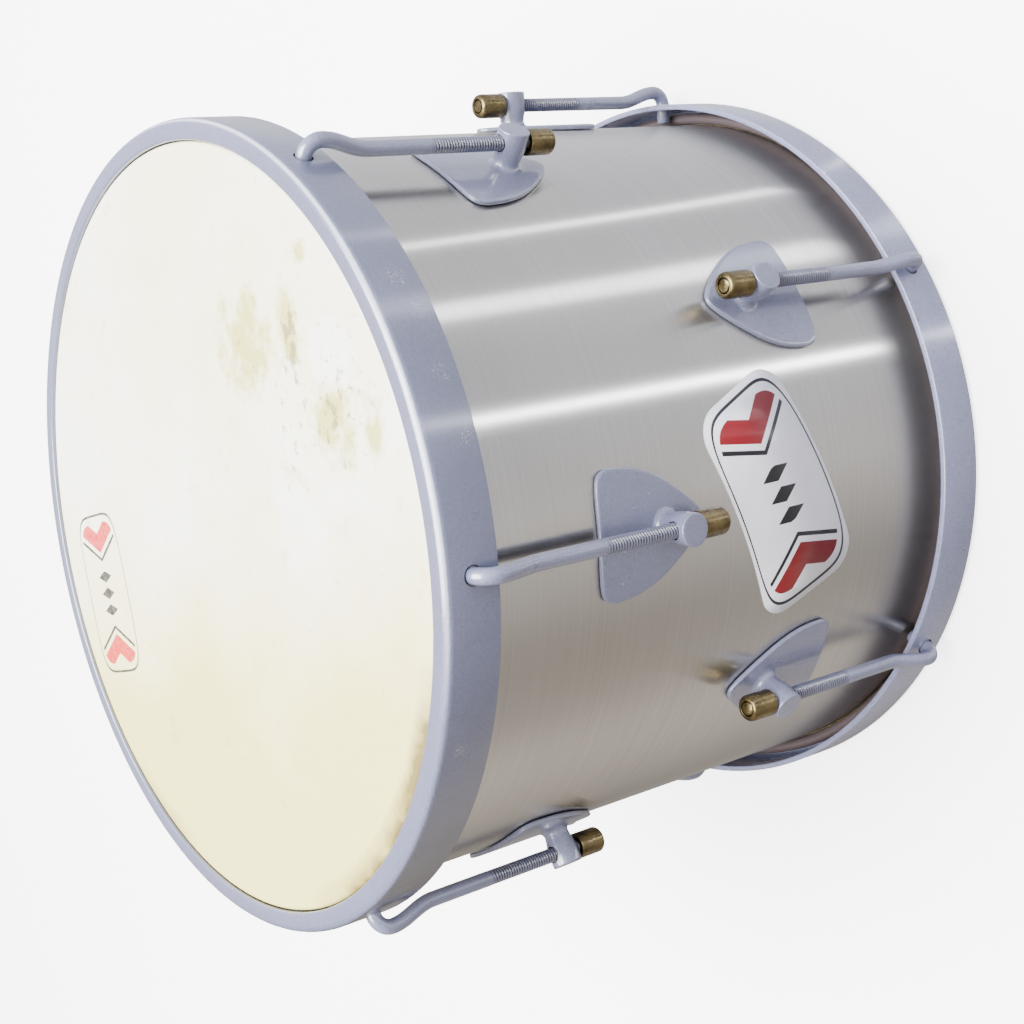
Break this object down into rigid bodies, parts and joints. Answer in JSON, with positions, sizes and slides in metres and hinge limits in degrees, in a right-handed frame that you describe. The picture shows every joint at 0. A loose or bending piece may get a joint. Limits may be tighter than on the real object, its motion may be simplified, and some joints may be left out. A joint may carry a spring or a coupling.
{
  "type": "repinique drum",
  "caption": "Two-headed samba drum: aluminium shell, painted counterhoops drawn toward lugs by hooked rods with brass barrel nuts, natural hide skins.",
  "frame": {"origin": "centre of the lower rim, on the plane that the drum stands on", "axes": "+Z along the drum's axis, from the resonant head up to the batter head; -Y towards the batter rod nearest the picture's camera"},
  "size_m": [0.343, 0.343, 0.275],
  "materials": {
    "shell_aluminium": "brushed around the shell",
    "lilac_paint": "semi-gloss paint",
    "raw_hide": "natural hide, matt",
    "ring_steel": "drawn wire",
    "brass": "dull turned brass",
    "screw_steel": "zinc plated"
  },
  "bodies": {
    "shell": {"shell": "shell_aluminium", "batter_lug_1": "lilac_paint", "batter_lug_screw_1": "screw_steel", "batter_lug_2": "lilac_paint", "batter_lug_screw_2": "screw_steel", "batter_lug_3": "lilac_paint", "batter_lug_screw_3": "screw_steel", "batter_lug_4": "lilac_paint", "batter_lug_screw_4": "screw_steel", "batter_lug_5": "lilac_paint", "batter_lug_screw_5": "screw_steel", "batter_lug_6": "lilac_paint", "batter_lug_screw_6": "screw_steel", "resonant_lug_1": "lilac_paint", "resonant_lug_screw_1": "screw_steel", "resonant_lug_2": "lilac_paint", "resonant_lug_screw_2": "screw_steel", "resonant_lug_3": "lilac_paint", "resonant_lug_screw_3": "screw_steel", "resonant_lug_4": "lilac_paint", "resonant_lug_screw_4": "screw_steel", "resonant_lug_5": "lilac_paint", "resonant_lug_screw_5": "screw_steel", "resonant_lug_6": "lilac_paint", "resonant_lug_screw_6": "screw_steel"},
    "batter_head": {"batter_hoop": "lilac_paint", "batter_skin": "raw_hide", "batter_flesh_hoop": "ring_steel", "batter_rod_1": "lilac_paint", "batter_rod_2": "lilac_paint", "batter_rod_3": "lilac_paint", "batter_rod_4": "lilac_paint", "batter_rod_5": "lilac_paint", "batter_rod_6": "lilac_paint"},
    "resonant_head": {"resonant_hoop": "lilac_paint", "resonant_skin": "raw_hide", "resonant_flesh_hoop": "ring_steel", "resonant_rod_1": "lilac_paint", "resonant_rod_2": "lilac_paint", "resonant_rod_3": "lilac_paint", "resonant_rod_4": "lilac_paint", "resonant_rod_5": "lilac_paint", "resonant_rod_6": "lilac_paint"},
    "batter_nut_1": {"batter_nut_1": "brass"},
    "batter_nut_2": {"batter_nut_2": "brass"},
    "batter_nut_3": {"batter_nut_3": "brass"},
    "batter_nut_4": {"batter_nut_4": "brass"},
    "batter_nut_5": {"batter_nut_5": "brass"},
    "batter_nut_6": {"batter_nut_6": "brass"},
    "resonant_nut_1": {"resonant_nut_1": "brass"},
    "resonant_nut_2": {"resonant_nut_2": "brass"},
    "resonant_nut_3": {"resonant_nut_3": "brass"},
    "resonant_nut_4": {"resonant_nut_4": "brass"},
    "resonant_nut_5": {"resonant_nut_5": "brass"},
    "resonant_nut_6": {"resonant_nut_6": "brass"}
  },
  "joints": [
    {"name": "batter_head_lift", "type": "slide", "parent": "shell", "child": "batter_head", "axis": [0, 0, 1], "range_m": [0, 0.005]},
    {"name": "resonant_head_lift", "type": "slide", "parent": "shell", "child": "resonant_head", "axis": [0, 0, -1], "range_m": [0, 0.005]},
    {"name": "batter_nut_1_turn", "type": "hinge", "parent": "shell", "child": "batter_nut_1", "pos_m": [0, -0.1642, 0.15765], "axis": [0, 0, -1], "range_deg": [0, 1418]},
    {"name": "batter_nut_2_turn", "type": "hinge", "parent": "shell", "child": "batter_nut_2", "pos_m": [0.1422, -0.0821, 0.15765], "axis": [0, 0, -1], "range_deg": [0, 1418]},
    {"name": "batter_nut_3_turn", "type": "hinge", "parent": "shell", "child": "batter_nut_3", "pos_m": [0.1422, 0.0821, 0.15765], "axis": [0, 0, -1], "range_deg": [0, 1418]},
    {"name": "batter_nut_4_turn", "type": "hinge", "parent": "shell", "child": "batter_nut_4", "pos_m": [0, 0.1642, 0.15765], "axis": [0, 0, -1], "range_deg": [0, 1418]},
    {"name": "batter_nut_5_turn", "type": "hinge", "parent": "shell", "child": "batter_nut_5", "pos_m": [-0.1422, 0.0821, 0.15765], "axis": [0, 0, -1], "range_deg": [0, 1418]},
    {"name": "batter_nut_6_turn", "type": "hinge", "parent": "shell", "child": "batter_nut_6", "pos_m": [-0.1422, -0.0821, 0.15765], "axis": [0, 0, -1], "range_deg": [0, 1418]},
    {"name": "resonant_nut_1_turn", "type": "hinge", "parent": "shell", "child": "resonant_nut_1", "pos_m": [-0.0821, 0.1422, 0.11735], "axis": [0, 0, 1], "range_deg": [0, 1418]},
    {"name": "resonant_nut_2_turn", "type": "hinge", "parent": "shell", "child": "resonant_nut_2", "pos_m": [0.0821, 0.1422, 0.11735], "axis": [0, 0, 1], "range_deg": [0, 1418]},
    {"name": "resonant_nut_3_turn", "type": "hinge", "parent": "shell", "child": "resonant_nut_3", "pos_m": [0.1642, 0, 0.11735], "axis": [0, 0, 1], "range_deg": [0, 1418]},
    {"name": "resonant_nut_4_turn", "type": "hinge", "parent": "shell", "child": "resonant_nut_4", "pos_m": [0.0821, -0.1422, 0.11735], "axis": [0, 0, 1], "range_deg": [0, 1418]},
    {"name": "resonant_nut_5_turn", "type": "hinge", "parent": "shell", "child": "resonant_nut_5", "pos_m": [-0.0821, -0.1422, 0.11735], "axis": [0, 0, 1], "range_deg": [0, 1418]},
    {"name": "resonant_nut_6_turn", "type": "hinge", "parent": "shell", "child": "resonant_nut_6", "pos_m": [-0.1642, 0, 0.11735], "axis": [0, 0, 1], "range_deg": [0, 1418]}
  ],
  "couplings": [
    {"joint": "batter_nut_1_turn", "follows": "batter_head_lift", "rad_per_m": 4947.4},
    {"joint": "batter_nut_2_turn", "follows": "batter_head_lift", "rad_per_m": 4947.4},
    {"joint": "batter_nut_3_turn", "follows": "batter_head_lift", "rad_per_m": 4947.4},
    {"joint": "batter_nut_4_turn", "follows": "batter_head_lift", "rad_per_m": 4947.4},
    {"joint": "batter_nut_5_turn", "follows": "batter_head_lift", "rad_per_m": 4947.4},
    {"joint": "batter_nut_6_turn", "follows": "batter_head_lift", "rad_per_m": 4947.4},
    {"joint": "resonant_nut_1_turn", "follows": "resonant_head_lift", "rad_per_m": 4947.4},
    {"joint": "resonant_nut_2_turn", "follows": "resonant_head_lift", "rad_per_m": 4947.4},
    {"joint": "resonant_nut_3_turn", "follows": "resonant_head_lift", "rad_per_m": 4947.4},
    {"joint": "resonant_nut_4_turn", "follows": "resonant_head_lift", "rad_per_m": 4947.4},
    {"joint": "resonant_nut_5_turn", "follows": "resonant_head_lift", "rad_per_m": 4947.4},
    {"joint": "resonant_nut_6_turn", "follows": "resonant_head_lift", "rad_per_m": 4947.4}
  ]
}
